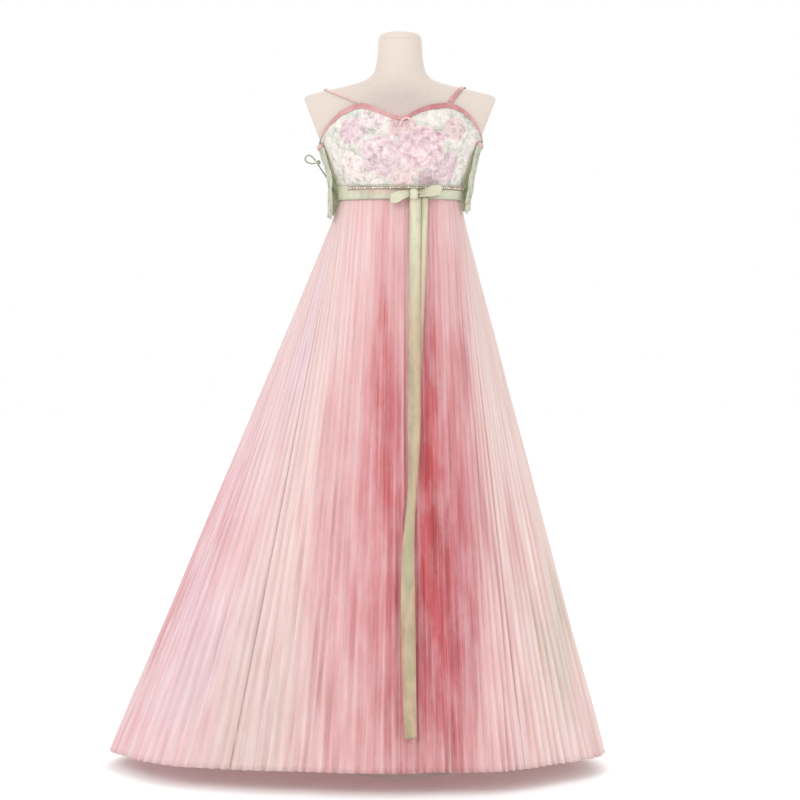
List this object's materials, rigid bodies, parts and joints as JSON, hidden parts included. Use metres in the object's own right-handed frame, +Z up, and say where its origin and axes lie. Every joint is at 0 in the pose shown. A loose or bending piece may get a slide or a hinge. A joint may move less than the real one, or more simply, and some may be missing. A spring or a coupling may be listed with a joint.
{
  "type": "hanfu strap dress on dress form",
  "caption": "Long pleated strap dress with a shaped bodice, sash belt, bow and ribbon tails, standing on a limbless dress form with a pole and a round base.",
  "frame": {"origin": "on the floor, on the underside of the base, under the middle of the pole", "axes": "+Z up along the pole, the front of the dress faces -Y, the wearer's right is at -X"},
  "size_m": [1.0109, 0.6263, 1.478],
  "materials": {
    "form_cover": "matte",
    "stand_metal": "satin",
    "stand_enamel": "satin",
    "bodice_cloth": "satin",
    "back_cloth": "satin",
    "rose_satin": "satin",
    "skirt_cloth": "satin",
    "sage_satin": "satin",
    "bead": "gloss",
    "tie_cord": "matte"
  },
  "bodies": {
    "root": {"dress_form": "form_cover", "neck_cap": "form_cover", "stand_pole": "stand_metal", "stand_base": "stand_enamel", "bodice_front": "bodice_cloth", "bodice_back": "back_cloth", "binding_left": "rose_satin", "binding_right": "rose_satin", "binding_back": "rose_satin", "strap_left": "rose_satin", "strap_right": "rose_satin", "skirt_front": "skirt_cloth", "skirt_side_left": "skirt_cloth", "skirt_side_right": "skirt_cloth", "skirt_back_left": "skirt_cloth", "skirt_back_right": "skirt_cloth", "belt": "sage_satin", "bead_trim": "bead", "bow_knot": "sage_satin", "bow_loop_left": "sage_satin", "bow_loop_right": "sage_satin", "ribbon_tail_front": "sage_satin", "ribbon_tail_back": "sage_satin", "tie_knot": "tie_cord", "tie_loop": "tie_cord", "tie_end": "tie_cord"}
  },
  "joints": []
}
